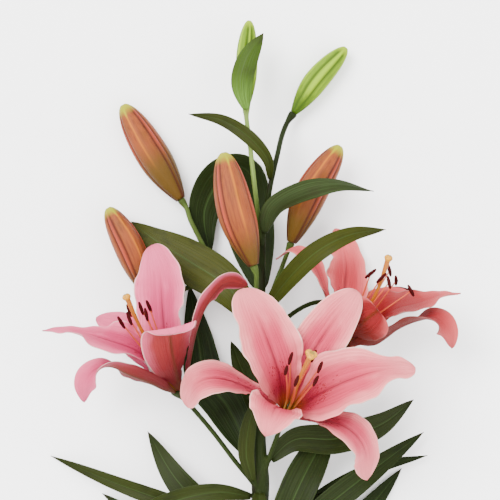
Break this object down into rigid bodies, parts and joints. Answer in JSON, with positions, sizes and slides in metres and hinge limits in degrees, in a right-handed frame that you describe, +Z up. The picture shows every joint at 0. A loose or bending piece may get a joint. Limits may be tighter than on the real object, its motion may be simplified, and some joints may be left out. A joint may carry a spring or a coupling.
{
  "type": "cut lily stem",
  "caption": "Cut stem of pink lilies lying on its side, with open six-part blooms, closed buds and narrow waved leaves.",
  "frame": {"origin": "on the surface the stem lies on, under the middle of the plant's bounding box", "axes": "+Y from the cut end along the stem towards the topmost bud, +Z up from the surface, +X across the plant to the right"},
  "size_m": [0.2944, 0.512, 0.1345],
  "materials": {
    "stem_green": "satin",
    "leaf_green": "satin",
    "bract_green": "satin",
    "bud_green": "satin",
    "bud_coral": "satin",
    "petal_pink": "satin",
    "sepal_pink": "satin",
    "stamen_maroon": "matte",
    "pistil_orange": "satin"
  },
  "bodies": {
    "root": {"bract_leaf": "bract_green", "centre_bud": "bud_coral", "corner_bud": "bud_coral", "front_petal_high": "petal_pink", "front_petal_low": "petal_pink", "front_petal_right": "petal_pink", "front_pistil": "pistil_orange", "front_sepal_high": "sepal_pink", "front_sepal_left": "sepal_pink", "front_sepal_low": "sepal_pink", "front_stamens": "stamen_maroon", "leaf_01": "leaf_green", "leaf_02": "leaf_green", "leaf_03": "leaf_green", "leaf_04": "leaf_green", "leaf_05": "leaf_green", "leaf_06": "leaf_green", "leaf_07": "leaf_green", "leaf_08": "leaf_green", "leaf_09": "leaf_green", "leaf_10": "leaf_green", "leaf_11": "leaf_green", "leaf_12": "leaf_green", "leaf_13": "leaf_green", "leaf_14": "leaf_green", "leaf_15": "leaf_green", "leaf_16": "leaf_green", "leaf_17": "leaf_green", "leaf_18": "leaf_green", "leaf_19": "leaf_green", "leaf_20": "leaf_green", "leaf_21": "leaf_green", "left_petal_high": "petal_pink", "left_petal_left": "petal_pink", "left_petal_near": "petal_pink", "left_pistil": "pistil_orange", "left_sepal_back": "sepal_pink", "left_sepal_low": "sepal_pink", "left_sepal_right": "sepal_pink", "left_stamens": "stamen_maroon", "outer_bud": "bud_coral", "right_petal_high": "petal_pink", "right_petal_near": "petal_pink", "right_petal_right": "petal_pink", "right_pistil": "pistil_orange", "right_sepal_back": "sepal_pink", "right_sepal_left": "sepal_pink", "right_sepal_low": "sepal_pink", "right_stamens": "stamen_maroon", "side_bud": "bud_coral", "side_green_bud": "bud_green", "stem": "stem_green", "tall_green_bud": "bud_green"}
  },
  "joints": []
}
